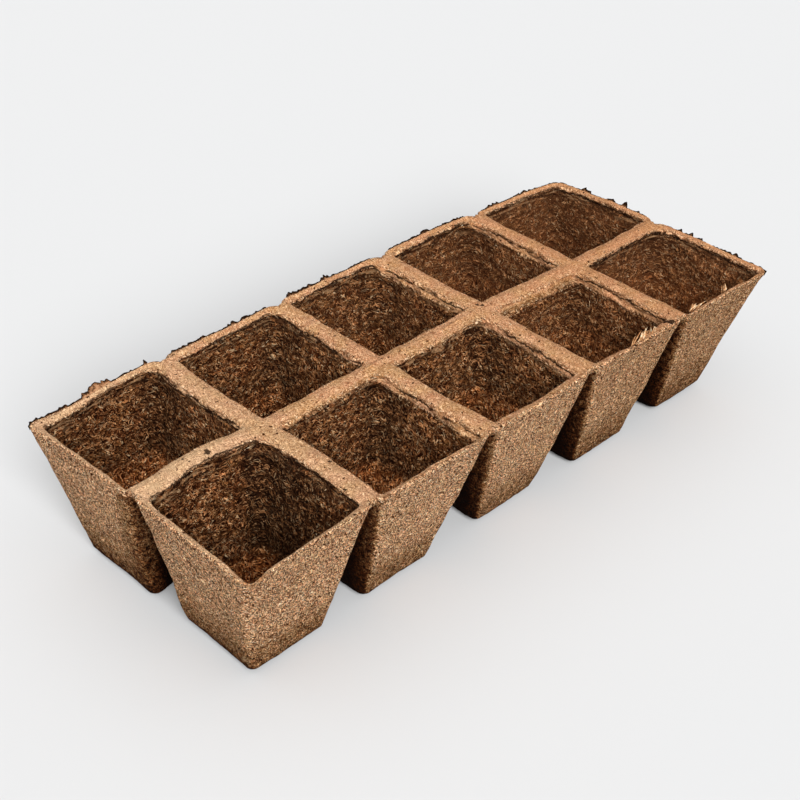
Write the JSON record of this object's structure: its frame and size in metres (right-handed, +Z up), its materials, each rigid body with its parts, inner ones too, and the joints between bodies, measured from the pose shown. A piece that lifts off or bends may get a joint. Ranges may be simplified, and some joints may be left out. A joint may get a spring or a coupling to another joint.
{
  "type": "seedling pot strip",
  "caption": "Strip of square tapered seedling pots moulded in peat and wood fibre, joined at their rims by webs that tear apart for planting out.",
  "frame": {"origin": "on the ground under the middle of the strip", "axes": "+X along the rows of pots, +Y from the near row (b) to the far row (a), +Z up out of the mouths"},
  "size_m": [0.2488, 0.0988, 0.05],
  "materials": {
    "moulded_fibre": "rough, matt, fibrous"
  },
  "bodies": {
    "root": {"pot_a1": "moulded_fibre", "pot_a2": "moulded_fibre", "pot_a3": "moulded_fibre", "pot_a4": "moulded_fibre", "pot_a5": "moulded_fibre", "pot_b1": "moulded_fibre", "pot_b2": "moulded_fibre", "pot_b3": "moulded_fibre", "pot_b4": "moulded_fibre", "pot_b5": "moulded_fibre"}
  },
  "joints": []
}
